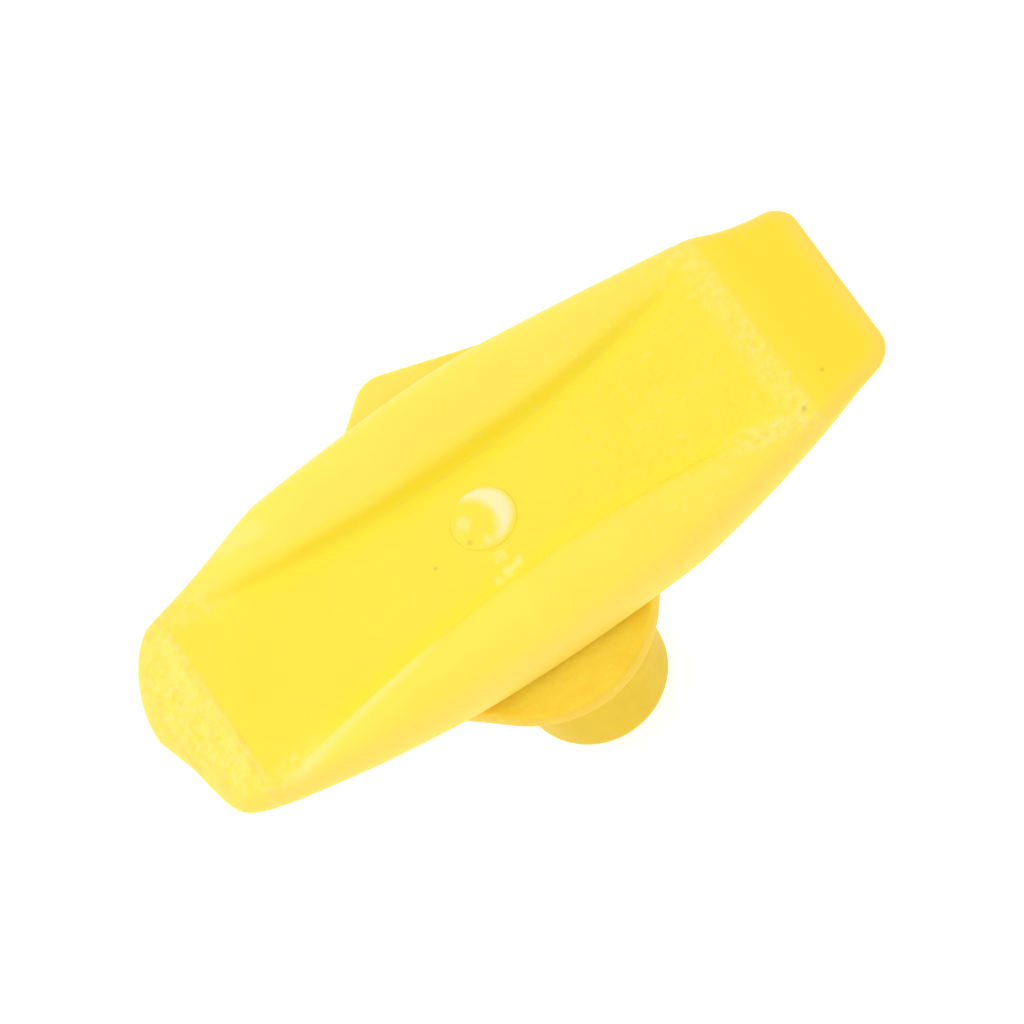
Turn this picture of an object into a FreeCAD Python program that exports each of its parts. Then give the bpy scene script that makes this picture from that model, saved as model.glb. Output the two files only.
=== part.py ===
import FreeCAD, Part
import math
import os

# A small moulded turn button: a boat-shaped handle that swivels on a shield-shaped base plate,
# held by a headed pivot pin that is pressed into the mounting peg under the plate.
# Origin: pivot axis at the plate's seating face. +Z up the pivot, +X towards the chisel end.
# All sizes are in millimetres.

# base plate: a shield outline, given by its corners before they are rounded
plate_half_length = 9.5
far_point_place, far_point_reach, far_point_radius = -1.05, 11.8, 1.5
near_point_place, near_point_reach, near_point_radius = 0.45, 14.4, 6.1
far_shoulder_left, far_shoulder_right = 4.4, 7.8  # Y of the corners beside the far point
near_shoulder_left, near_shoulder_right = -4.5, -1.6  # Y of the corners beside the near point
shoulder_radius = 3.0
plate_thickness = 1.0
plate_edge_round = 0.25

# mounting peg
peg_radius = 4.0
peg_length = 18.4
peg_end_round = 1.5
peg_bore_depth = 9.0
neck_ledge = 0.6  # how far the peg's stepped neck reaches out past the handle's hub
neck_height = 0.4

# handle
chisel_reach = 21.55  # pivot axis to the straight end
nose_reach = 19.75  # pivot axis to the rounded end
chisel_facet_length = 4.95
nose_facet_length = 3.5
handle_half_width = 8.85
chisel_shoulder_half_width = 6.8
nose_shoulder_half_width = 6.5
chisel_tip_half_width = 4.5
web_thickness = 1.4
cheek_height = 1.4
trough_half_width = 3.5  # at the narrow waist over the pivot
trough_flare = 1.5  # how much wider each side of the trough is at its ends
inner_wall_run = 0.6
tip_thickness = 0.5
side_chamfer = 0.55
hub_radius = 2.9

# pivot pin
pin_radius = 0.9
head_radius = 1.75
head_thickness = 0.5
head_crown = 0.15

# fits
pivot_clearance = 0.05  # radial, pin shank in the handle's bore
head_clearance = 0.10  # radial, pin head in its counterbore
end_float = 0.05  # under the pin head, and under the handle's hub
plate_gap = 0.2  # between the handle's underside and the plate
hub_clearance = 0.07  # radial, handle hub in the plate's hole
neck_clearance = 0.03  # radial, peg's neck in the plate's underside
relief_depth = 0.1  # keeps the plate's seating face clear of the peg's shoulder

# levels that follow from them
handle_bottom = plate_thickness + plate_gap
trough_floor = handle_bottom + web_thickness
neck_radius = hub_radius + neck_ledge
hub_bottom = neck_height + end_float
counterbore_floor = trough_floor - head_thickness
chisel_shoulder = chisel_reach - chisel_facet_length
nose_shoulder = nose_reach - nose_facet_length


def vec(x, y, z):
    return FreeCAD.Vector(x, y, z)


def rod(radius, bottom, top):
    return Part.makeCylinder(radius, top - bottom, vec(0, 0, bottom))


def turned(points):
    """Solid of revolution about Z from (radius, height) points, closed along the axis."""
    wire = Part.makePolygon([vec(r, 0, z) for r, z in points + points[:1]])
    return Part.Face(wire).revolve(vec(0, 0, 0), vec(0, 0, 1), 360)


def section(x, half):
    """Closed wire across the handle at x from the (y, z) points of its +Y half."""
    mirrored = [(-y, z) for y, z in reversed(half)]
    points = [vec(x, y, z) for y, z in half + mirrored]
    return Part.makePolygon(points + points[:1])


def plate_corners():
    """(x, y, rounding radius) of the plate's corners, anticlockwise from the far point."""
    return [
        (far_point_place, far_point_reach, far_point_radius),
        (-plate_half_length, far_shoulder_left, shoulder_radius),
        (-plate_half_length, near_shoulder_left, shoulder_radius),
        (near_point_place, -near_point_reach, near_point_radius),
        (plate_half_length, near_shoulder_right, shoulder_radius),
        (plate_half_length, far_shoulder_right, shoulder_radius),
    ]


def upright_at(edge, x, y):
    ends = [v.Point for v in edge.Vertexes]
    return all(abs(p.x - x) < 1e-4 and abs(p.y - y) < 1e-4 for p in ends)


def base_plate():
    corners = plate_corners()
    outline = Part.makePolygon([vec(x, y, 0) for x, y, radius in corners + corners[:1]])
    plate = Part.Face(outline).extrude(vec(0, 0, plate_thickness))
    for x, y, radius in corners:
        plate = plate.makeFillet(radius, [e for e in plate.Edges if upright_at(e, x, y)])
    rim = [e for e in plate.Edges if e.BoundBox.ZMin > plate_thickness * 0.9]
    plate = plate.makeFillet(plate_edge_round, rim)
    hub_hole = rod(hub_radius + hub_clearance, -1, plate_thickness + 1)
    neck_seat = rod(neck_radius + neck_clearance, -1, neck_height)
    shoulder_relief = rod(peg_radius + relief_depth, -1, relief_depth)
    return plate.cut([hub_hole, neck_seat, shoulder_relief])


def mounting_peg():
    body = rod(peg_radius, -peg_length, 0)
    end = [e for e in body.Edges if abs(e.BoundBox.ZMax + peg_length) < 0.01]
    body = body.makeFillet(peg_end_round, end)
    body = body.fuse(rod(neck_radius, 0, neck_height)).removeSplitter()
    return body.cut(rod(pin_radius, -peg_bore_depth, neck_height + 1))


def pivot_pin():
    shank_bottom = -peg_bore_depth
    underside = counterbore_floor + end_float
    rim = trough_floor
    crown_sphere = (head_radius**2 + head_crown**2) / (2 * head_crown)
    pin = turned(
        [
            (0, shank_bottom),
            (pin_radius - 0.2, shank_bottom),
            (pin_radius, shank_bottom + 0.5),
            (pin_radius, underside),
            (head_radius, underside),
            (head_radius, rim + head_crown),
            (0, rim + head_crown),
        ]
    )
    ball = Part.makeSphere(crown_sphere, vec(0, 0, rim + head_crown - crown_sphere))
    return pin.common(ball.fuse(rod(head_radius + 1, shank_bottom - 1, rim)))


def blend(share):
    """1 over the pivot, falling to 0 at the shoulders as a flat-topped arc does."""
    return 1 - share * share


def middle_half(x):
    """(y, z) points of the +Y half between the two shoulders, underside first."""
    share = x / chisel_shoulder if x > 0 else -x / nose_shoulder
    shoulder = chisel_shoulder_half_width if x > 0 else nose_shoulder_half_width
    side = shoulder + (handle_half_width - shoulder) * blend(share)
    rise = 0.06 + (cheek_height - 0.06) * blend(share)
    floor_side = trough_half_width + trough_flare * share * share
    wall_top = floor_side + inner_wall_run * (0.3 + 0.7 * blend(share))
    crown_side = (wall_top + side) / 2
    return [
        (side - side_chamfer, handle_bottom),
        (side, handle_bottom + side_chamfer),
        (side - 0.06 * rise, trough_floor + 0.2 * rise),
        (side - 0.35 * rise, trough_floor + 0.7 * rise),
        (crown_side, trough_floor + rise),
        (wall_top, trough_floor + 0.75 * rise),
        (floor_side, trough_floor),
    ]


def end_half(half_width, height):
    """(y, z) points of the +Y half of an end facet that is height thick."""
    ease = min(side_chamfer, height / 2.5)
    return [
        (half_width - ease, handle_bottom),
        (half_width, handle_bottom + ease),
        (half_width - ease / 2, handle_bottom + height),
    ]


def handle_middle():
    shares = [1, 0.8, 0.5, 0, 0.5, 0.8, 1]
    places = [-nose_shoulder * s for s in shares[:4]] + [chisel_shoulder * s for s in shares[4:]]
    return Part.makeLoft([section(x, middle_half(x)) for x in places], True, False)


def chisel_end():
    corner = chisel_shoulder_half_width - chisel_tip_half_width
    stations = [
        (chisel_shoulder, chisel_shoulder_half_width, web_thickness),
        (chisel_reach - corner / 3, chisel_tip_half_width + corner / 2.5, tip_thickness * 1.2),
        (chisel_reach, chisel_tip_half_width, tip_thickness),
    ]
    return Part.makeLoft([section(x, end_half(w, h)) for x, w, h in stations], True, True)


def nose_end():
    stations = []
    for degrees in (0, 30, 55, 72, 82):
        turn = math.radians(degrees)
        x = -nose_shoulder - nose_facet_length * math.sin(turn) / math.sin(math.radians(82))
        height = tip_thickness + (web_thickness - tip_thickness) * math.cos(turn)
        stations.append((x, nose_shoulder_half_width * math.cos(turn) ** 0.7, height))
    return Part.makeLoft([section(x, end_half(w, h)) for x, w, h in stations], True, True)


def turn_handle():
    body = handle_middle().fuse([chisel_end(), nose_end()])
    hub = rod(hub_radius, hub_bottom, handle_bottom + web_thickness / 2)
    body = body.fuse(hub).removeSplitter()
    bore = rod(pin_radius + pivot_clearance, hub_bottom - 1, trough_floor + 1)
    counterbore = rod(head_radius + head_clearance, counterbore_floor, trough_floor + 1)
    return body.cut([bore, counterbore])


parts = {
    "base_plate": base_plate(),
    "mounting_peg": mounting_peg(),
    "pivot_pin": pivot_pin(),
    "turn_handle": turn_handle(),
}

os.makedirs("parts", exist_ok=True)
for name, shape in parts.items():
    if not shape.isValid() or len(shape.Solids) != 1:
        raise ValueError(name + " is not one valid solid")
    shape.Solids[0].exportStep("parts/" + name + ".step")
    box = shape.BoundBox
    corners = (box.XMin, box.XMax, box.YMin, box.YMax, box.ZMin, box.ZMax)
    print(name, round(shape.Volume, 2), [round(v, 2) for v in corners])
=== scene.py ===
import bpy
import bmesh
import math
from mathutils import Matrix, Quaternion, Vector, kdtree, noise


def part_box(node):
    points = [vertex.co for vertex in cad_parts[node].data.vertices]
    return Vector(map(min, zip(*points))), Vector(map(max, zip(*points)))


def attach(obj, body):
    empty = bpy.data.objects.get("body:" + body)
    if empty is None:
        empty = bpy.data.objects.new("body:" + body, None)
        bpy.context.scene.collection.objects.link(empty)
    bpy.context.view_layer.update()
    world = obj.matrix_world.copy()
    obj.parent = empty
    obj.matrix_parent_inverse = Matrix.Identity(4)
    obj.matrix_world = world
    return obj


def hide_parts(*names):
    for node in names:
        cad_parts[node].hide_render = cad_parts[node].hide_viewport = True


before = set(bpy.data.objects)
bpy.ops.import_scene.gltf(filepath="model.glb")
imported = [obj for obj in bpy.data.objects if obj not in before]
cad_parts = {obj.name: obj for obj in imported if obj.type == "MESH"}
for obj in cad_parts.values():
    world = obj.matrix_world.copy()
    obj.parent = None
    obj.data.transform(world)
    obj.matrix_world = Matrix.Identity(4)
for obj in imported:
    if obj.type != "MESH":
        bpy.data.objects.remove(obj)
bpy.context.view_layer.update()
mm = 0.001

plateLow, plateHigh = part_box("base_plate")
pegLow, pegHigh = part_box("mounting_peg")
pinLow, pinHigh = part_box("pivot_pin")
handleLow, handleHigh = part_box("turn_handle")
plateTop = plateHigh.z


def clamp(value, low=0.0, high=1.0):
    return max(low, min(high, value))


def ease(start, end, value):
    share = clamp((value - start) / (end - start))
    return share * share * (3 - 2 * share)


def smoothThrough(stations, x):
    # a soft curve through (place, size) pairs given in mm, ready in metres
    x = clamp(x / mm, stations[0][0], stations[-1][0])
    last = len(stations) - 1
    i = 0
    while i < last - 1 and stations[i + 1][0] < x:
        i += 1

    def slopeAt(k):
        low, high = stations[max(k - 1, 0)], stations[min(k + 1, last)]
        return (high[1] - low[1]) / (high[0] - low[0])

    (xa, ya), (xb, yb) = stations[i], stations[i + 1]
    step = xb - xa
    t = (x - xa) / step
    a, b = slopeAt(i) * step, slopeAt(i + 1) * step
    bend = ya * (2 * t**3 - 3 * t**2 + 1) + a * (t**3 - 2 * t**2 + t)
    bend += yb * (3 * t**2 - 2 * t**3) + b * (t**3 - t**2)
    return bend * mm


def lumps(x, y, pitch, seed):
    return noise.noise(Vector((x / pitch + seed, y / pitch - seed, seed * 0.37)))


def keepPiece(bm, name, sharpAngle=35):
    bmesh.ops.recalc_face_normals(bm, faces=bm.faces)
    mesh = bpy.data.meshes.new(name)
    bm.to_mesh(mesh)
    bm.free()
    mesh.shade_smooth()
    mesh.set_sharp_from_angle(angle=math.radians(sharpAngle))
    piece = bpy.data.objects.new(name, mesh)
    bpy.context.scene.collection.objects.link(piece)
    return piece


def addSpun(bm, profile, steps=96):
    # spins (radius, height) points a full turn about the pivot
    points = [bm.verts.new((r, 0, z)) for r, z in profile]
    edges = [bm.edges.new(pair) for pair in zip(points, points[1:])]
    bmesh.ops.spin(
        bm, geom=points + edges, cent=(0, 0, 0), axis=(0, 0, 1),
        angle=math.tau, steps=steps, use_merge=True, use_duplicate=False,
    )
    bmesh.ops.remove_doubles(bm, verts=bm.verts, dist=0.0005 * mm)


def joinOrCut(body, tool, operation):
    # joins a tool to the body or cuts it out, then throws the tool away
    change = body.modifiers.new(tool.name, "BOOLEAN")
    change.operation = operation
    change.object = tool
    change.solver = "EXACT"
    bpy.context.view_layer.update()
    joined = body.evaluated_get(bpy.context.evaluated_depsgraph_get())
    shaped = bpy.data.meshes.new_from_object(joined)
    body.modifiers.clear()
    body.data = shaped
    bpy.data.objects.remove(tool)


def finishPiece(body, material, bodyName, node):
    body.data.materials.clear()
    body.data.materials.append(material)
    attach(body, bodyName)
    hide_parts(node)
    print(node.replace("_", " ") + ":", len(body.data.polygons), "faces")


def roundOff(corner, radius, turns=6, fromAngle=0, toAngle=90):
    # points of a quarter round about a (radius, height) centre
    points = []
    for k in range(turns + 1):
        angle = math.radians(fromAngle + (toAngle - fromAngle) * k / turns)
        points.append((corner[0] + radius * math.cos(angle), corner[1] + radius * math.sin(angle)))
    return points


# the two shared effects: the moulding's grain, and round marks, used for specks and for painted highlights
# and painted light


def wire(tree, start, end):
    tree.links.new(start, end)


def addNode(tree, kind, **inputs):
    made = tree.nodes.new(kind)
    for name, value in inputs.items():
        made.inputs[name].default_value = value
    return made


def addMath(tree, operation, a, b=None, c=None, limit=False):
    made = tree.nodes.new("ShaderNodeMath")
    made.operation = operation
    made.use_clamp = limit
    for slot, value in enumerate((a, b, c)):
        if value is None:
            continue
        if isinstance(value, (int, float)):
            made.inputs[slot].default_value = value
        else:
            wire(tree, value, made.inputs[slot])
    return made.outputs[0]


def addRise(tree, value, start, end):
    # 0 at the start and 1 at the end, and clamped past both
    made = tree.nodes.new("ShaderNodeMapRange")
    made.inputs["From Min"].default_value = start
    made.inputs["From Max"].default_value = end
    wire(tree, value, made.inputs["Value"])
    return made.outputs["Result"]


def addMix(tree, share, first, second):
    made = tree.nodes.new("ShaderNodeMix")
    made.data_type = "RGBA"
    for name, value in (("Factor_Float", share), ("A_Color", first), ("B_Color", second)):
        socket = next(s for s in made.inputs if s.identifier == name)
        if isinstance(value, (int, float)):
            socket.default_value = value
        elif isinstance(value, tuple):
            socket.default_value = (*value, 1)
        else:
            wire(tree, value, socket)
    return next(s for s in made.outputs if s.identifier == "Result_Color")


def tint(tree, mask, strength, colour, added):
    return addMix(tree, addMath(tree, "MULTIPLY", mask, strength), colour, added)


def newGroup(name, inputs, outputs):
    tree = bpy.data.node_groups.new(name, "ShaderNodeTree")
    for label, kind, value in inputs:
        socket = tree.interface.new_socket(label, in_out="INPUT", socket_type=kind)
        if value is not None:
            socket.default_value = value
    for label, kind in outputs:
        tree.interface.new_socket(label, in_out="OUTPUT", socket_type=kind)
    return tree, tree.nodes.new("NodeGroupInput"), tree.nodes.new("NodeGroupOutput")


def makeGrainGroup():
    tree, given, result = newGroup(
        "mouldGrain",
        [
            ("Vector", "NodeSocketVector", None),
            ("Lump Scale", "NodeSocketFloat", 1800.0),
            ("Fine Scale", "NodeSocketFloat", 6000.0),
            ("Cloud Scale", "NodeSocketFloat", 220.0),
            ("Fine Share", "NodeSocketFloat", 0.3),
        ],
        [("Height", "NodeSocketFloat"), ("Cloud", "NodeSocketFloat"), ("Pits", "NodeSocketFloat")],
    )
    lump = addNode(tree, "ShaderNodeTexNoise", Detail=3.0, Roughness=0.55)
    fine = addNode(tree, "ShaderNodeTexNoise", Detail=2.0, Roughness=0.6)
    cloud = addNode(tree, "ShaderNodeTexNoise", Detail=3.0, Roughness=0.5, Distortion=0.4)
    for made, label in ((lump, "Lump Scale"), (fine, "Fine Scale"), (cloud, "Cloud Scale")):
        wire(tree, given.outputs["Vector"], made.inputs["Vector"])
        wire(tree, given.outputs[label], made.inputs["Scale"])
    fineHeight = addMath(tree, "MULTIPLY", fine.outputs["Fac"], given.outputs["Fine Share"])
    wire(tree, addMath(tree, "ADD", lump.outputs["Fac"], fineHeight), result.inputs["Height"])
    wire(tree, addRise(tree, cloud.outputs["Fac"], 0.3, 0.7), result.inputs["Cloud"])
    wire(tree, addRise(tree, lump.outputs["Fac"], 0.58, 0.72), result.inputs["Pits"])
    return tree


def makeMarkGroup():
    # a round mark with a broken edge, 1 inside and 0 outside
    tree, given, result = newGroup(
        "roundMark",
        [
            ("Vector", "NodeSocketVector", None),
            ("Centre", "NodeSocketVector", (0, 0, 0)),
            ("Radius", "NodeSocketFloat", 0.15 * mm),
            ("Edge", "NodeSocketFloat", 0.05 * mm),
            ("Ragged", "NodeSocketFloat", 0.1 * mm),
        ],
        [("Mask", "NodeSocketFloat")],
    )
    away = tree.nodes.new("ShaderNodeVectorMath")
    away.operation = "DISTANCE"
    wire(tree, given.outputs["Vector"], away.inputs[0])
    wire(tree, given.outputs["Centre"], away.inputs[1])
    torn = addNode(tree, "ShaderNodeTexNoise", Scale=2600.0, Detail=2.0)
    wire(tree, given.outputs["Vector"], torn.inputs["Vector"])
    shift = addMath(tree, "SUBTRACT", torn.outputs["Fac"], 0.5)
    shift = addMath(tree, "MULTIPLY", shift, given.outputs["Ragged"])
    reach = addMath(tree, "SUBTRACT", given.outputs["Radius"], away.outputs["Value"])
    reach = addMath(tree, "ADD", reach, shift)
    wire(tree, addMath(tree, "DIVIDE", reach, given.outputs["Edge"], limit=True), result.inputs["Mask"])
    return tree


grainGroup = makeGrainGroup()
markGroup = makeMarkGroup()
print("shared effects ready")


def addMark(tree, place, centre, radius, edge, ragged):
    made = tree.nodes.new("ShaderNodeGroup")
    made.node_tree = markGroup
    wire(tree, place, made.inputs["Vector"])
    made.inputs["Centre"].default_value = centre
    made.inputs["Radius"].default_value = radius
    made.inputs["Edge"].default_value = edge
    made.inputs["Ragged"].default_value = ragged
    return made.outputs["Mask"]


def splitPlace(tree, place):
    # the three axes of a place, and the same place flattened along the pivot
    axes = tree.nodes.new("ShaderNodeSeparateXYZ")
    flat = tree.nodes.new("ShaderNodeCombineXYZ")
    wire(tree, place, axes.inputs[0])
    for axis in ("X", "Y"):
        wire(tree, axes.outputs[axis], flat.inputs[axis])
    return axes.outputs, flat.outputs[0]


def startPlastic(name, look):
    # one moulded plastic: cloudy body colour, rough and smooth patches, grain as bump
    material = bpy.data.materials.new(name)
    material.use_nodes = True
    tree = material.node_tree
    shader = tree.nodes["Principled BSDF"]
    place = tree.nodes.new("ShaderNodeTexCoord").outputs["Object"]
    grain = tree.nodes.new("ShaderNodeGroup")
    grain.node_tree = grainGroup
    wire(tree, place, grain.inputs["Vector"])
    grain.inputs["Lump Scale"].default_value = 1 / look["lumpSize"]
    grain.inputs["Fine Scale"].default_value = 1 / look["fineSize"]
    grain.inputs["Cloud Scale"].default_value = 1 / look["cloudSize"]
    grain.inputs["Fine Share"].default_value = look["fineShare"]
    colour = addMix(tree, grain.outputs["Cloud"], look["colour"], look["deepColour"])
    rough = addMath(tree, "MULTIPLY_ADD", grain.outputs["Cloud"], look["roughSpread"], look["rough"])
    bump = addNode(tree, "ShaderNodeBump", Strength=look["bump"], Distance=look["bumpHeight"])
    wire(tree, bump.outputs["Normal"], shader.inputs["Normal"])
    shader.inputs["IOR"].default_value = 1.5
    shader.inputs["Specular IOR Level"].default_value = look["shine"]
    shader.inputs["Subsurface Weight"].default_value = look["glow"]
    shader.inputs["Subsurface Radius"].default_value = (1.0, 0.7, 0.15)
    shader.inputs["Subsurface Scale"].default_value = look["glowDepth"]
    return material, tree, shader, place, grain, colour, rough, bump


# turn handle: a boat-shaped bar with a trough between two long cheeks

handle = {
    # half widths of the two long sides, as (place, size) in mm
    "farOutline": [
        (-17.0, 6.45), (-13.5, 7.3), (-9.7, 8.42), (-8.5, 8.55), (-4.0, 8.72), (0.0, 8.8), (4.0, 8.6),
        (8.0, 8.08), (12.0, 7.52), (16.3, 6.78), (18.0, 6.15), (19.5, 5.8), (21.55, 5.6),
    ],
    "nearOutline": [
        (-19.75, -0.85), (-19.35, 0.6), (-19.05, 1.8), (-18.85, 3.2), (-18.55, 4.6), (-18.0, 5.5),
        (-16.6, 6.25), (-14.0, 6.98), (-10.0, 7.85), (-5.0, 8.58), (0.0, 8.85), (5.0, 8.85), (8.0, 8.7),
        (12.0, 7.95), (16.3, 6.85), (19.0, 5.9), (21.55, 5.1),
    ],
    "noseStart": 17.0 * mm,  # past here the far side rounds off to the nose
    "noseMiddle": 0.85 * mm,
    "noseTaper": 0.67 * mm,  # keeps the far side's slope where the rounding starts
    "tipCorner": 1.25 * mm,
    "chiselShoulder": 16.6 * mm,  # where the trough ends and the chisel facet starts
    "noseShoulder": 16.25 * mm,
    "webThickness": 1.4 * mm,
    "tipThickness": 0.5 * mm,
    "noseThickness": 0.8 * mm,
    "gapUnder": 0.2 * mm,
    "rimLevel": 0.7 * mm,  # widest level of the side, above the underside
    "cheekHeight": 1.38 * mm,
    "cheekRun": {"far": (14.9 * mm, 14.9 * mm), "near": (15.4 * mm, 15.9 * mm)},
    "wallShare": 0.5,  # how much of the cheek the short inner wall climbs
    "wallRun": 0.36 * mm,
    # half width at the waist, and how much wider it grows at the chisel end and at the nose
    "trough": {"far": (3.45 * mm, 1.9 * mm, 2.4 * mm), "near": (3.95 * mm, 1.8 * mm, 1.75 * mm)},
    "waistPlace": 1.75 * mm,
    # how far in from the outline the edges round off, on top and underneath
    "rollEnds": 0.75 * mm,
    "rollMiddle": 2.6 * mm,
    "rollUnder": 0.85 * mm,
    "hubRadius": 2.9 * mm,
    "hubBottom": 0.45 * mm,
    "boreRadius": 0.95 * mm,
    "headDepth": 0.5 * mm,
    "lipGap": 0.005 * mm,  # the counterbore's lip closes in on the pin's head
    "lengthSteps": 290,
    "acrossSteps": 150,
    "outlineStep": 0.02 * mm,
    # how far the coarse patches stand up, and how large their lumps are
    "noseLumps": (0.12 * mm, 0.55 * mm, 0.3 * mm),
    "bandLumps": (0.07 * mm, 0.5 * mm, 0.28 * mm),
    "grainLumps": 0.02 * mm,
    "noseRidge": 0.07 * mm,
    "floorDish": 0.12 * mm,
    "fades": {  # each runs from 0 to 1 between two places in mm
        "ontoNose": (0.1, -0.35), "noseLowSide": (-5.6, -3.6), "highlightLine": (0.45, 0.1),
        "intoBand": (14.6, 15.9), "outOfBand": (16.95, 16.4),
        "creaseStart": (11.0, 13.5), "creaseEnd": (16.7, 15.8), "creaseSide": (1.1, 0.3),
        "noseCreaseStart": (-11.5, -14.5), "noseCreaseEnd": (-17.0, -16.0), "noseCreaseSide": (1.4, 0.4),
        "intoGrain": (-1.0, 9.0), "outOfGrain": (17.2, 16.3),
        "farCheekSide": (3.2, 4.5), "farCheekAlong": (-6.0, 4.0),
        "cheekSide": (0.3, 1.0), "cheekEnds": (17.0, 14.0),
        "nearStreakStart": (-4.0, -8.0), "nearStreakEnd": (-16.2, -14.0),
        "nearStreakInner": (-0.05, 0.3), "nearStreakOuter": (1.3, 0.5),
        "farStreakStart": (-13.4, -11.5), "farStreakEnd": (-8.4, -9.8),
        "farStreakInner": (1.4, 2.0), "farStreakOuter": (3.3, 2.7),
        "dishIn": (-2.6, -0.4), "dishOut": (0.3, -0.3),
        "creaseIn": (-1.6, -0.1), "creaseOut": (0.35, 0.0), "nearRim": (1.1, 0.1),
    },
    # painted sheen over the cheeks
    "cheekSheen": {"far": 0.33, "near": 0.25},
    # the plastic
    "colour": (0.98, 0.77, 0.052),
    "deepColour": (0.97, 0.74, 0.038),
    "paleColour": (1.0, 0.81, 0.24),
    # painted shade for the rolled-off edge all round the outline
    "rimShadeColour": (0.98, 0.68, 0.13),
    # painted crease shade
    "creaseShadeColour": (1.0, 0.81, 0.02),
    # painted sheen and highlight colour
    "sheenColour": (1.0, 0.795, 0.17),
    # painted shade on the chisel facet
    "facetShadeColour": (0.97, 0.72, 0.03),
    # painted highlight colour, pale; the pin uses one too
    "paleHighlight": (1.0, 0.88, 0.36),
    "speckColour": (0.33, 0.21, 0.02),
    "lumpSize": 0.42 * mm, "fineSize": 0.16 * mm, "cloudSize": 5.0 * mm, "fineShare": 0.35,
    "rough": 0.40, "roughSpread": 0.08, "shine": 0.32, "glow": 0.12, "glowDepth": 0.5 * mm,
    "bump": 0.6, "bumpHeight": 0.07 * mm,
    "specks": [(-3.4, -0.75, 0.18), (18.05, -4.1, 0.17), (16.15, -5.45, 0.2)],  # x, y and radius in mm
    # painted highlights: pale round spots by the near crease
    "highlightSpots": [(-0.5, -3.2, 0.5), (-1.1, -3.35, 0.4), (0.15, -3.1, 0.45), (-0.45, -2.3, 0.4)],
    "spotEdge": (0.4 * mm, 0.9 * mm), "speckEdge": (0.14 * mm, 0.12 * mm),  # soft edge and raggedness
    "markLevel": 0.7 * mm,  # marks in the top show only above this, over the plate
    "plainLevel": 0.4 * mm,  # below this, over the underside, the moulding is plain
    "facetFade": 1.2 * mm,
    "scuffRough": 0.12, "facetRough": -0.06,
    "plainBump": 0.1, "scuffBump": 1.6, "grainBump": 1.1,
    "patchContrast": (1.7, -0.68),
    "creaseShadeStrength": 0.7, "fleckStrength": 0.28, "rimShadeStrength": 0.6,
    "highlightSpotStrength": 0.5, "speckStrength": 0.3,
}


def farSide(x):
    h = handle
    if x < -h["noseStart"]:
        share = clamp((-h["noseStart"] - x) / (-h["noseStart"] - handleLow.x))
        width = h["farOutline"][0][1] * mm - h["noseTaper"] * share
        return h["noseMiddle"] + (width - h["noseMiddle"]) * math.sqrt(1 - share**1.8)
    return smoothThrough(h["farOutline"], x) - tipLoss(x)


def nearSide(x):
    return smoothThrough(handle["nearOutline"], x) - tipLoss(x)


def tipLoss(x):
    corner = handle["tipCorner"]
    into = clamp((x - handleHigh.x + corner) / corner)
    return corner * (1 - math.sqrt(1 - into * into))


def troughSide(x, side):
    h = handle
    waist, chiselFlare, noseFlare = h["trough"][side]
    away = x - h["waistPlace"]
    if away > 0:
        return waist + chiselFlare * (away / (h["chiselShoulder"] - h["waistPlace"])) ** 2
    return waist + noseFlare * (away / (h["noseShoulder"] + h["waistPlace"])) ** 2


def cheekRise(x, side):
    noseEnd, chiselEnd = handle["cheekRun"][side]
    share = clamp(x / chiselEnd if x > 0 else -x / noseEnd)
    return handle["cheekHeight"] * (1 - share**2.2) ** 1.1


def fade(name, value):
    start, end = handle["fades"][name]
    return ease(start * mm, end * mm, value)


def coarseAndHighlight(x, y):
    # 1 where the moulding is coarse and painted pale: the nose, the band before the facet, a crease's end,
    # and a painted highlight line across the nose's shoulder
    pastNose = x + handle["noseShoulder"]
    nose = 0.85 * fade("ontoNose", pastNose) * (0.25 + 0.75 * fade("noseLowSide", y))
    # painted highlight: a pale line across the top at the nose's shoulder
    highlightLine = 0.9 * fade("highlightLine", abs(pastNose + 0.2 * mm))
    band = 0.6 * fade("intoBand", x) * fade("outOfBand", x)
    creaseEnd = 0.9 * fade("creaseStart", x) * fade("creaseEnd", x)
    creaseEnd *= fade("creaseSide", abs(y + troughSide(x, "near") + 0.25 * mm))
    noseEnd = 0.6 * fade("noseCreaseStart", x) * fade("noseCreaseEnd", x)
    past = abs(y) - troughSide(x, "near" if y < 0 else "far")
    noseEnd *= fade("noseCreaseSide", abs(past - 0.2 * mm))
    return clamp(max(nose, highlightLine, band, creaseEnd, noseEnd))


def troughGrain(x, y):
    # the grain grows towards the chisel end, and over the far cheek's chisel half
    grown = fade("intoGrain", x) * fade("outOfGrain", x)
    farCheek = 0.7 * fade("farCheekSide", y) * fade("farCheekAlong", x)
    return clamp(max(grown, farCheek))


def sheenAndStreaks(x, y):
    # 1 in the two painted highlight streaks, and a little painted sheen over the cheeks
    side = "near" if y < 0 else "far"
    past = abs(y) - troughSide(x, side)
    cheek = handle["cheekSheen"][side] * fade("cheekSide", past) * fade("cheekEnds", abs(x))
    streak = fade(side + "StreakStart", x) * fade(side + "StreakEnd", x)
    streak *= fade(side + "StreakInner", past) * fade(side + "StreakOuter", past)
    if side == "far":
        streak *= 0.8
    return clamp(max(cheek, streak))


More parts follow.
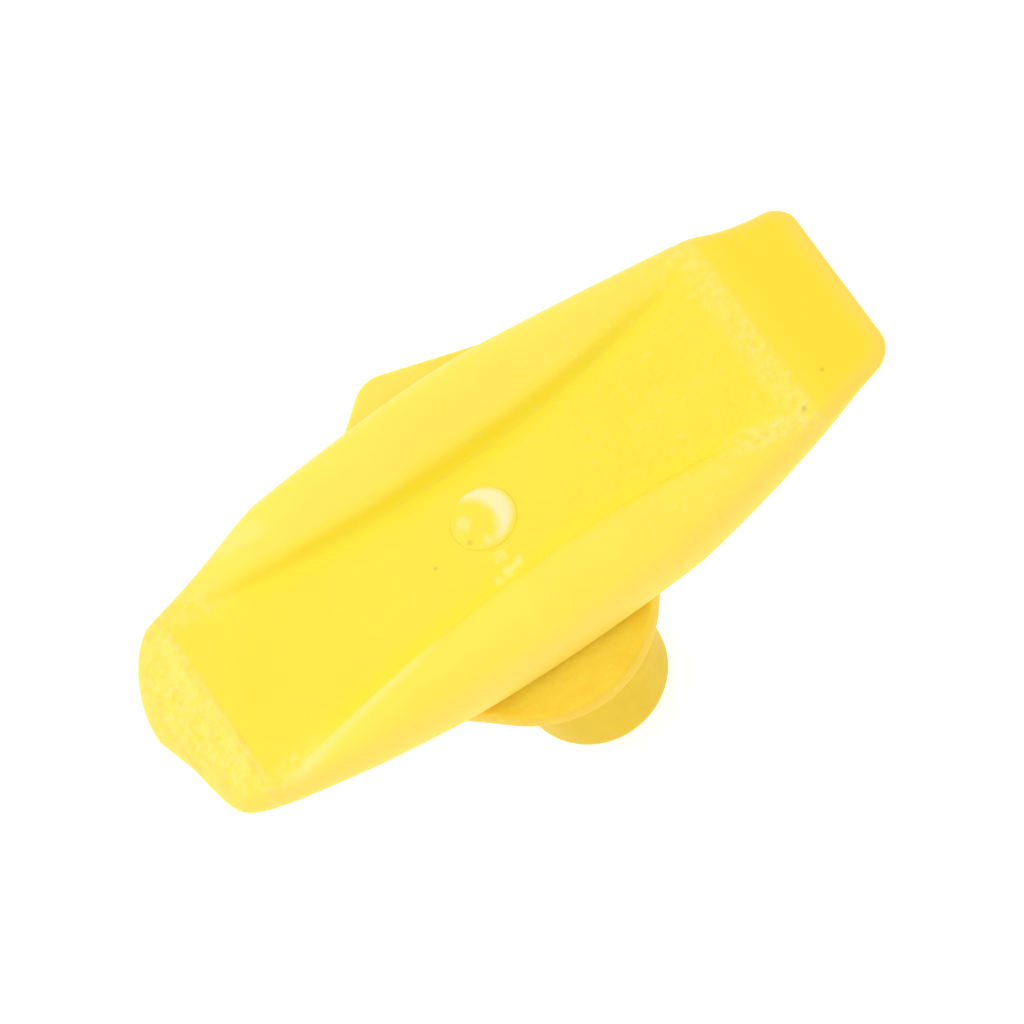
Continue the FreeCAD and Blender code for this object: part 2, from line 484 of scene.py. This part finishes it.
def topHeight(x, y):
    # height over the handle's underside, before the sides roll off
    h = handle
    web = h["webThickness"]
    if x > h["chiselShoulder"]:
        run = (x - h["chiselShoulder"]) / (handleHigh.x - h["chiselShoulder"])
        return web - (web - h["tipThickness"]) * run
    if x < -h["noseShoulder"]:
        run = (-x - h["noseShoulder"]) / (-handleLow.x - h["noseShoulder"])
        bevelled = web - (web - h["noseThickness"]) * run**1.2
        ridge = h["noseRidge"] * math.exp(-(((x + h["noseShoulder"] + 0.3 * mm) / (0.35 * mm)) ** 2))
        lumpHeight, broad, narrow = h["noseLumps"]
        coarse = lumps(x, y * 0.55, broad, 3.1) + 0.6 * lumps(x, y, narrow, 7.7)
        return bevelled + ridge * ease(0, 0.12, run) + lumpHeight * coarse * coarseAndHighlight(x, y)
    side = "near" if y < 0 else "far"
    outer = nearSide(x) if y < 0 else farSide(x)
    past = abs(y) - troughSide(x, side)
    rise = cheekRise(x, side)
    climb = ease(-0.18 * mm, h["wallRun"], past)
    width = max(outer - troughSide(x, side), 0.5 * mm)
    crown = 1 - (1 - clamp(past / (0.55 * width))) ** 1.6
    height = web + rise * (h["wallShare"] * climb + (1 - h["wallShare"]) * crown)
    dish = h["floorDish"] * (1 - clamp(abs(x) / h["chiselShoulder"]) ** 2)
    height -= dish * fade("dishIn", past) * fade("dishOut", past)
    lumpHeight, broad, narrow = h["bandLumps"]
    coarse = lumps(x, y, broad, 5.3) + 0.7 * lumps(x, y, narrow, 1.9)
    return height + coarse * (lumpHeight * coarseAndHighlight(x, y) + h["grainLumps"] * troughGrain(x, y))


def outlineFinder():
    # finds how far a point is from the handle's outline
    steps = 900
    far, near = [], []
    for k in range(steps + 1):
        share = k / steps
        x = handleLow.x + (handleHigh.x - handleLow.x) * (0.5 - 0.5 * math.cos(math.pi * share))
        far.append(Vector((x, farSide(x), 0)))
        near.append(Vector((x, -nearSide(x), 0)))
    ring = far + near[::-1]
    points = []
    for start, end in zip(ring, ring[1:]):
        count = max(1, math.ceil((end - start).length / handle["outlineStep"]))
        points += [start.lerp(end, k / count) for k in range(count)]
    tree = kdtree.KDTree(len(points))
    for index, point in enumerate(points):
        tree.insert(point, index)
    tree.balance()
    return tree


def makeHandleShell(bm):
    h = handle
    finder = outlineFinder()
    bottom = plateTop + h["gapUnder"]
    middle, half = (handleLow.x + handleHigh.x) / 2, (handleHigh.x - handleLow.x) / 2
    for level in (1, -1):
        made = bmesh.ops.create_grid(bm, x_segments=h["lengthSteps"], y_segments=h["acrossSteps"], size=1)
        for v in made["verts"]:
            along, across = v.co.x, v.co.y
            x = middle + half * (0.35 * along + 0.65 * math.sin(along * math.pi / 2))
            x = clamp(x, handleLow.x, handleHigh.x)
            low, high = -nearSide(x), farSide(x)
            y = (low + high) / 2 + (high - low) / 2 * (0.3 * across + 0.7 * math.sin(across * math.pi / 2))
            atRim = abs(along) > 0.9999 or abs(across) > 0.9999
            away = 0.0 if atRim else finder.find((x, y, 0))[2]
            height = topHeight(x, y)
            rim = min(h["rimLevel"], 0.5 * topHeight(x, 0))
            lift = clamp(cheekRise(x, "far") / h["cheekHeight"])
            if level > 0:
                roll = h["rollEnds"] + (h["rollMiddle"] - h["rollEnds"]) * lift
                target = height
            else:
                roll = h["rollUnder"]
                target = 0.0
            share = clamp(away / roll)
            power = 2.0 + 0.5 * lift if level > 0 else 2.0
            rounded = (1 - (1 - share) ** power) ** (1 / power)
            v.co = Vector((x, y, bottom + rim + (target - rim) * rounded))
    bmesh.ops.remove_doubles(bm, verts=bm.verts, dist=0.004 * mm)
    bmesh.ops.dissolve_degenerate(bm, edges=bm.edges, dist=0.001 * mm)


def makeHandle():
    h = handle
    floor = plateTop + h["gapUnder"] + h["webThickness"]
    bm = bmesh.new()
    makeHandleShell(bm)
    body = keepPiece(bm, "handleBody", 70)
    hub = bmesh.new()  # the round hub that turns in the plate
    addSpun(hub, [(0, h["hubBottom"]), (h["hubRadius"] - 0.12 * mm, h["hubBottom"]),
                  (h["hubRadius"], h["hubBottom"] + 0.12 * mm),
                  (h["hubRadius"], floor - 0.9 * mm), (0, floor - 0.9 * mm)])
    cutter = bmesh.new()  # bore and counterbore for the pin
    head = pinHigh.x + h["lipGap"]
    addSpun(cutter, [(0, -1 * mm), (h["boreRadius"], -1 * mm), (h["boreRadius"], floor - h["headDepth"]),
                     (head, floor - h["headDepth"]), (head, floor + 1 * mm), (0, floor + 1 * mm)])
    joinOrCut(body, keepPiece(hub, "hubTool"), "UNION")
    joinOrCut(body, keepPiece(cutter, "boreTool"), "DIFFERENCE")
    body.data.shade_smooth()
    body.data.set_sharp_from_angle(angle=math.radians(65))
    markHandle(body)
    return body


def markHandle(body):
    # where the moulding is coarse or grained, and where crease shade, rim shade, sheen and highlights are
    # painted
    body.data.attributes.new("mouldMarksAndPaintedShade", "FLOAT_COLOR", "POINT")
    body.data.attributes.new("paintedSheen", "FLOAT", "POINT")
    marks, shine = body.data.attributes["mouldMarksAndPaintedShade"], body.data.attributes["paintedSheen"]
    finder = outlineFinder()
    underside = plateTop + handle["gapUnder"] + handle["plainLevel"]
    for v in body.data.vertices:
        x, y = v.co.x, v.co.y
        side = "near" if y < 0 else "far"
        past = abs(y) - troughSide(x, side)
        depth = clamp(cheekRise(x, side) / handle["cheekHeight"])
        # painted crease shade: the floor's edge at the foot of each cheek is painted a deeper, more
        # saturated yellow
        crease = fade("creaseIn", past) * fade("creaseOut", past) * depth**0.5
        # painted shade: the edge rolling off all round the outline is painted deeper orange
        rim = fade("nearRim", finder.find((x, y, 0))[2])
        if v.co.z < underside:
            marks.data[v.index].color = (0, 0, 0.3, rim)
        else:
            marks.data[v.index].color = (coarseAndHighlight(x, y), crease, troughGrain(x, y), rim)
            shine.data[v.index].value = sheenAndStreaks(x, y)


def makeHandlePlastic():
    look = handle
    material, tree, shader, place, grain, colour, rough, bump = startPlastic("handlePlastic", look)
    marks = addNode(tree, "ShaderNodeAttribute")
    marks.attribute_name = "mouldMarksAndPaintedShade"
    parts = tree.nodes.new("ShaderNodeSeparateColor")
    wire(tree, marks.outputs["Color"], parts.inputs["Color"])
    coarseAndHighlightMask, creaseShadeMask, grained = (parts.outputs[n] for n in ("Red", "Green", "Blue"))
    level, flat = splitPlace(tree, place)  # marks are cut straight down through the top
    facet = addMath(tree, "SUBTRACT", level["X"], look["chiselShoulder"])
    facet = addMath(tree, "DIVIDE", facet, look["facetFade"], limit=True)
    # painted shade: the chisel facet is painted deeper yellow; it is also smoother
    colour = addMix(tree, facet, colour, look["facetShadeColour"])
    # painted crease shade
    colour = tint(tree, creaseShadeMask, look["creaseShadeStrength"], colour, look["creaseShadeColour"])
    # painted sheen and highlight streaks
    sheenAttribute = addNode(tree, "ShaderNodeAttribute")
    sheenAttribute.attribute_name = "paintedSheen"
    colour = addMix(tree, sheenAttribute.outputs["Fac"], colour, look["sheenColour"])
    # coarse patches painted pale, with the painted highlight line at the nose's shoulder
    patchy = addMath(tree, "MULTIPLY_ADD", grain.outputs["Height"], *look["patchContrast"], limit=True)
    patchy = addMath(tree, "MULTIPLY", coarseAndHighlightMask, patchy, limit=True)
    colour = addMix(tree, patchy, colour, look["paleColour"])
    flecks = addMath(tree, "MULTIPLY", grained, look["fleckStrength"])
    flecks = addMath(tree, "MULTIPLY", grain.outputs["Pits"], flecks)
    colour = addMix(tree, flecks, colour, look["paleColour"])
    # painted shade on the rolled-off edge
    colour = tint(tree, marks.outputs["Alpha"], look["rimShadeStrength"], colour, look["rimShadeColour"])
    above = addMath(tree, "SUBTRACT", level["Z"], plateTop + look["markLevel"])
    onTop = addMath(tree, "DIVIDE", above, 0.1 * mm, limit=True)
    # painted highlights: pale round spots on the top
    for x, y, radius in look["highlightSpots"]:
        spot = addMark(tree, flat, (x * mm, y * mm, 0), radius * mm, *look["spotEdge"])
        spot = addMath(tree, "MULTIPLY", spot, onTop)
        colour = tint(tree, spot, look["highlightSpotStrength"], colour, look["paleHighlight"])
    for x, y, radius in look["specks"]:
        spot = addMark(tree, flat, (x * mm, y * mm, 0), radius * mm, *look["speckEdge"])
        spot = addMath(tree, "MULTIPLY", spot, onTop)
        colour = tint(tree, spot, look["speckStrength"], colour, look["speckColour"])
    wire(tree, colour, shader.inputs["Base Color"])
    rough = addMath(tree, "MULTIPLY_ADD", coarseAndHighlightMask, look["scuffRough"], rough)
    rough = addMath(tree, "MULTIPLY_ADD", facet, look["facetRough"], rough)
    wire(tree, rough, shader.inputs["Roughness"])
    amount = addMath(tree, "MULTIPLY_ADD", coarseAndHighlightMask, look["scuffBump"], look["plainBump"])
    amount = addMath(tree, "MULTIPLY_ADD", grained, look["grainBump"], amount)
    wire(tree, addMath(tree, "MULTIPLY", grain.outputs["Height"], amount), bump.inputs["Height"])
    return material


finishPiece(makeHandle(), makeHandlePlastic(), "handle", "turn_handle")

# base plate: a shield outline with softly rounded corners

plate = {
    "corners": [  # x, y and rounding radius in mm
        (-1.05, 11.8, 1.5), (-9.5, 4.4, 3.0), (-9.5, -4.5, 3.0),
        (0.45, -14.4, 6.1), (9.5, -1.6, 3.0), (9.5, 7.8, 3.0),
    ],
    "edgeRound": 0.25 * mm,
    "footRound": 0.1 * mm,
    "holeRadius": 2.97 * mm,
    "neckSeat": (3.53 * mm, 0.4 * mm),
    # the plastic, its yellow painted deeper than the handle's as shade under the handle
    "colour": (0.95, 0.67, 0.035), "deepColour": (0.90, 0.58, 0.02), "paleColour": (0.98, 0.75, 0.08),
    # painted light colours for the far corner and the middle, and painted shade for the edge
    "cornerLightColour": (0.98, 0.80, 0.13), "edgeShadeColour": (0.82, 0.54, 0.02), "middleLightColour": (1.0, 0.84, 0.08),
    "middleLightPatch": (10.4 * mm, 1.8 * mm, 0.3 * mm),  # radius, soft edge and raggedness
    "cornerLightFade": (8.0 * mm, 10.5 * mm),
    "middleLightStrength": 0.85, "cornerLightStrength": 0.75, "fleckStrength": 0.4,
    "lumpSize": 0.6 * mm, "fineSize": 0.2 * mm, "cloudSize": 2.2 * mm, "fineShare": 0.3,
    "rough": 0.44, "roughSpread": 0.12, "shine": 0.35, "glow": 0.25, "glowDepth": 0.7 * mm,
    "bump": 0.9, "bumpHeight": 0.1 * mm,
}


def makePlate():
    p = plate
    bm = bmesh.new()
    ring = [bm.verts.new((x * mm, y * mm, 0)) for x, y, radius in p["corners"]]
    bm.faces.new(ring)
    for x, y, radius in p["corners"]:
        corner = min(bm.verts, key=lambda v: (v.co - Vector((x * mm, y * mm, 0))).length)
        sides = [(e.other_vert(corner).co - corner.co) for e in corner.link_edges]
        cut = radius * mm / math.tan(sides[0].angle(sides[1]) / 2)
        bmesh.ops.bevel(bm, geom=[corner], offset=cut, offset_type="OFFSET", affect="VERTICES",
                        segments=max(6, round(radius * 4)), profile=0.5, material=-1)
    bmesh.ops.remove_doubles(bm, verts=bm.verts, dist=0.001 * mm)
    grown = bmesh.ops.extrude_face_region(bm, geom=bm.faces[:])
    risen = [g for g in grown["geom"] if isinstance(g, bmesh.types.BMVert)]
    bmesh.ops.translate(bm, verts=risen, vec=(0, 0, plateTop - plateLow.z))
    bmesh.ops.recalc_face_normals(bm, faces=bm.faces)
    for level, size in ((plateTop, p["edgeRound"]), (plateLow.z, p["footRound"])):
        rim = [e for e in bm.edges if all(abs(v.co.z - level) < 0.001 * mm for v in e.verts)]
        bmesh.ops.bevel(bm, geom=rim, offset=size, offset_type="OFFSET", affect="EDGES",
                        segments=5, profile=0.5, material=-1)
    body = keepPiece(bm, "plateBody", 40)
    cutter = bmesh.new()
    seatRadius, seatTop = p["neckSeat"]
    hole, over = p["holeRadius"], plateTop + 1 * mm
    addSpun(cutter, [(0, -1 * mm), (seatRadius, -1 * mm), (seatRadius, seatTop), (hole, seatTop),
                     (hole, over), (0, over)])
    joinOrCut(body, keepPiece(cutter, "holeTool"), "DIFFERENCE")
    body.data.shade_smooth()
    body.data.set_sharp_from_angle(angle=math.radians(40))
    return body


def makePlatePlastic():
    look = plate
    material, tree, shader, place, grain, colour, rough, bump = startPlastic("platePlastic", look)
    level, flat = splitPlace(tree, place)
    # painted light: a large round patch at the middle, next to the handle, is painted paler to lift the
    # handle's shadow
    middle = addMark(tree, flat, (0, 0, 0), *look["middleLightPatch"])
    colour = tint(tree, middle, look["middleLightStrength"], colour, look["middleLightColour"])
    # painted shade: the plate's edge is painted a little deeper than its top
    rim = addRise(tree, level["Z"], plateTop - 0.02 * mm, plateTop - 0.2 * mm)
    colour = addMix(tree, rim, colour, look["edgeShadeColour"])
    # painted light: the blunt far corner is painted paler
    cornerLight = addRise(tree, level["Y"], *look["cornerLightFade"])
    colour = tint(tree, cornerLight, look["cornerLightStrength"], colour, look["cornerLightColour"])
    colour = tint(tree, grain.outputs["Pits"], look["fleckStrength"], colour, look["paleColour"])
    wire(tree, colour, shader.inputs["Base Color"])
    wire(tree, rough, shader.inputs["Roughness"])
    smooth = addMath(tree, "MULTIPLY_ADD", rim, -0.75, 1.0)
    wire(tree, addMath(tree, "MULTIPLY", grain.outputs["Height"], smooth), bump.inputs["Height"])
    return material


finishPiece(makePlate(), makePlatePlastic(), "base", "base_plate")

# mounting peg: a plain round plug with a rounded end and a stepped neck

peg = {
    "radius": 4.0 * mm,
    "endRound": 1.5 * mm,
    "neckRadius": 3.5 * mm,
    "boreRadius": 0.9 * mm,
    "shoulderRound": 0.12 * mm,
    "boreDepth": 9.4 * mm,
    "sinkDepth": 0.12 * mm,  # shallow sink mark in the middle of the end
    # the plastic, its yellow painted deeper than the handle's as shade under the handle
    "colour": (0.765, 0.525, 0.008), "deepColour": (0.70, 0.475, 0.004),
    "lumpSize": 0.8 * mm, "fineSize": 0.2 * mm, "cloudSize": 2.6 * mm, "fineShare": 0.3,
    "rough": 0.38, "roughSpread": 0.1, "shine": 0.25, "glow": 0.12, "glowDepth": 0.6 * mm,
    "bump": 0.35, "bumpHeight": 0.03 * mm,
    "streakScale": 2400.0,
    "streakStretch": 0.06,
}


def makePeg():
    p = peg
    bottom, top = pegLow.z, pegHigh.z
    endCentre = (p["radius"] - p["endRound"], bottom + p["endRound"])
    profile = [(0, bottom + p["sinkDepth"]), (0.7 * mm, bottom + 0.8 * p["sinkDepth"]),
               (1.4 * mm, bottom + 0.2 * p["sinkDepth"]), (1.8 * mm, bottom)]
    profile += roundOff(endCentre, p["endRound"], 12, -90, 0)
    profile += [(p["radius"], bottom + (0 - bottom) * k / 8) for k in range(2, 8)]
    shoulder = p["shoulderRound"]
    profile += roundOff((p["radius"] - shoulder, -shoulder), shoulder, 4, 0, 90)
    profile += [(p["neckRadius"], 0), (p["neckRadius"], top), (p["boreRadius"], top)]
    profile += [(p["boreRadius"], top - p["boreDepth"]), (0, top - p["boreDepth"])]
    bm = bmesh.new()
    addSpun(bm, profile, 128)
    return keepPiece(bm, "pegBody", 40)


def makePegPlastic():
    look = peg
    material, tree, shader, place, grain, colour, rough, bump = startPlastic("pegPlastic", look)
    drawn = addNode(tree, "ShaderNodeMapping")  # faint streaks along the peg, as it slid out of its mould
    drawn.inputs["Scale"].default_value = (1, 1, look["streakStretch"])
    wire(tree, place, drawn.inputs["Vector"])
    streak = addNode(tree, "ShaderNodeTexNoise", Scale=look["streakScale"], Detail=2.0)
    wire(tree, drawn.outputs["Vector"], streak.inputs["Vector"])
    wire(tree, colour, shader.inputs["Base Color"])
    rough = addMath(tree, "MULTIPLY_ADD", streak.outputs["Fac"], 0.12, rough)
    wire(tree, rough, shader.inputs["Roughness"])
    height = addMath(tree, "MULTIPLY_ADD", streak.outputs["Fac"], 0.7, grain.outputs["Height"])
    wire(tree, height, bump.inputs["Height"])
    return material


finishPiece(makePeg(), makePegPlastic(), "base", "mounting_peg")

# pivot pin: shank in the peg, low domed head flush with the trough floor

pin = {
    "shankRadius": 0.9 * mm,
    "shankChamfer": 0.2 * mm,
    "headEdge": 0.02 * mm,
    "dimpleRadius": 0.45 * mm,
    "dimpleDepth": 0.07 * mm,
    "headDrop": 0.6 * mm,  # from the head's top to its flat underside
    # the plastic, with a painted highlight as a pale crescent on the head's rim, and pale smudges beside it
    "colour": (0.98, 0.77, 0.052), "deepColour": (0.97, 0.745, 0.04),
    "paleHighlight": (1.0, 0.85, 0.46), "amber": (0.8, 0.5, 0.03),
    "lumpSize": 0.3 * mm, "fineSize": 0.1 * mm, "cloudSize": 1.5 * mm, "fineShare": 0.4,
    "rough": 0.36, "roughSpread": 0.08, "shine": 0.4, "glow": 0.1, "glowDepth": 0.4 * mm,
    "bump": 0.5, "bumpHeight": 0.03 * mm,
    # each mark's x, y, radius, soft edge and raggedness in mm
    "crescentOuter": (-0.1, 0.15, 1.8, 0.35, 0.2),
    "crescentInner": (-1.1, 0.0, 1.95, 0.45, 0.4),
    "smudge": (-1.0, 0.35, 0.55, 0.5, 1.1),
    "trail": (-0.35, -1.2, 0.5, 0.5, 1.1),
    "amberSpot": (-1.25, -0.7, 0.2, 0.12, 0.15),
    "crescentStrength": 0.9, "smudgeStrength": 0.4, "amberStrength": 0.7,
}


def makePin():
    p = pin
    bottom, top, wide = pinLow.z, pinHigh.z, pinHigh.x
    rim = plateTop + handle["gapUnder"] + handle["webThickness"]  # flush with the trough's floor
    under = top - p["headDrop"]
    profile = [(0, bottom), (p["shankRadius"] - p["shankChamfer"], bottom),
               (p["shankRadius"], bottom + 0.5 * mm), (p["shankRadius"], under), (wide - 0.05 * mm, under),
               (wide, under + 0.05 * mm)]
    profile += roundOff((wide - p["headEdge"], rim - 0.4 * p["headEdge"]), p["headEdge"], 5, 0, 80)
    for k in range(1, 9):
        r = (wide - p["headEdge"]) * (1 - k / 9)
        dome = rim + 0.35 * p["headEdge"] + (top - rim - 0.35 * p["headEdge"]) * (1 - (r / wide) ** 2)
        dip = p["dimpleDepth"] * ease(p["dimpleRadius"] * 1.6, p["dimpleRadius"] * 0.4, r)
        profile.append((r, dome - dip))
    profile.append((0, top - p["dimpleDepth"]))
    bm = bmesh.new()
    addSpun(bm, profile, 96)
    return keepPiece(bm, "pinBody", 45)


def makePinPlastic():
    look = pin
    material, tree, shader, place, grain, colour, rough, bump = startPlastic("pinPlastic", look)
    flat = splitPlace(tree, place)[1]

    def headMark(name):
        x, y, radius, edge, ragged = (value * mm for value in look[name])
        return addMark(tree, flat, (x, y, 0), radius, edge, ragged)

    # painted highlight: the pale crescent along the head's rim; the smudge and trail are pale marks
    crescent = addMath(tree, "SUBTRACT", headMark("crescentOuter"), headMark("crescentInner"), limit=True)
    smudge = addMath(tree, "MAXIMUM", headMark("smudge"), headMark("trail"))
    crescent = addMath(tree, "MULTIPLY", crescent, look["crescentStrength"])
    smudge = addMath(tree, "MULTIPLY", smudge, look["smudgeStrength"])
    white = addMath(tree, "MAXIMUM", crescent, smudge)
    colour = addMix(tree, white, colour, look["paleHighlight"])
    colour = tint(tree, headMark("amberSpot"), look["amberStrength"], colour, look["amber"])
    wire(tree, colour, shader.inputs["Base Color"])
    wire(tree, addMath(tree, "MULTIPLY_ADD", white, 0.15, rough), shader.inputs["Roughness"])
    wire(tree, grain.outputs["Height"], bump.inputs["Height"])
    return material


finishPiece(makePin(), makePinPlastic(), "base", "pivot_pin")

# floor, light and camera

stage = {
    "elevation": 60.0,
    "roll": 35.3,
    "lens": 300.0,
    "frameWidth": 51.2 * mm,
    "aim": Vector((1.35 * mm, -0.49 * mm, plateTop + 1.35 * mm)),
    "floorColour": (0.6, 0.6, 0.6),
    "floorGlow": 0.68,
    "windowPlace": (-0.35, 0.25, 0.40),
    "windowSize": 0.45,
    "windowPower": 0.8,
    "skyStrength": 0.96,
}


def makeFloor():
    bm = bmesh.new()
    bmesh.ops.create_grid(bm, x_segments=1, y_segments=1, size=0.6)
    bmesh.ops.translate(bm, verts=bm.verts, vec=(0, 0, pegLow.z))
    floor = keepPiece(bm, "floor")
    material = bpy.data.materials.new("paleFloor")
    material.use_nodes = True
    shader = material.node_tree.nodes["Principled BSDF"]
    shader.inputs["Base Color"].default_value = (*stage["floorColour"], 1)
    shader.inputs["Roughness"].default_value = 0.9
    shader.inputs["Emission Color"].default_value = (1, 1, 1, 1)
    shader.inputs["Emission Strength"].default_value = stage["floorGlow"]
    floor.data.materials.append(material)


def makeCamera():
    data = bpy.data.cameras.new("camera")
    data.lens = stage["lens"]
    data.sensor_width = 36
    data.clip_start = 0.01
    data.clip_end = 10
    camera = bpy.data.objects.new("camera", data)
    bpy.context.scene.collection.objects.link(camera)
    tilt = math.radians(stage["elevation"])
    back = Vector((0, -math.cos(tilt), math.sin(tilt)))
    camera.location = stage["aim"] + back * (stage["frameWidth"] * data.lens / data.sensor_width)
    camera.rotation_mode = "QUATERNION"
    roll = Quaternion((0, 0, 1), math.radians(-stage["roll"]))
    camera.rotation_quaternion = (-back).to_track_quat("-Z", "Y") @ roll
    bpy.context.scene.camera = camera


def makeWindow():
    data = bpy.data.lights.new("window", "AREA")
    data.size = stage["windowSize"]
    data.energy = stage["windowPower"]
    light = bpy.data.objects.new("window", data)
    light.location = stage["windowPlace"]
    light.rotation_mode = "QUATERNION"
    light.rotation_quaternion = (-Vector(stage["windowPlace"])).to_track_quat("-Z", "Y")
    bpy.context.scene.collection.objects.link(light)


makeFloor()
makeCamera()
makeWindow()
sky = bpy.data.worlds.new("studio")
sky.use_nodes = True
sky.node_tree.nodes["Background"].inputs["Color"].default_value = (1, 1, 1, 1)
sky.node_tree.nodes["Background"].inputs["Strength"].default_value = stage["skyStrength"]
bpy.context.scene.world = sky
bpy.context.scene.view_settings.view_transform = "Standard"
print("stage ready")
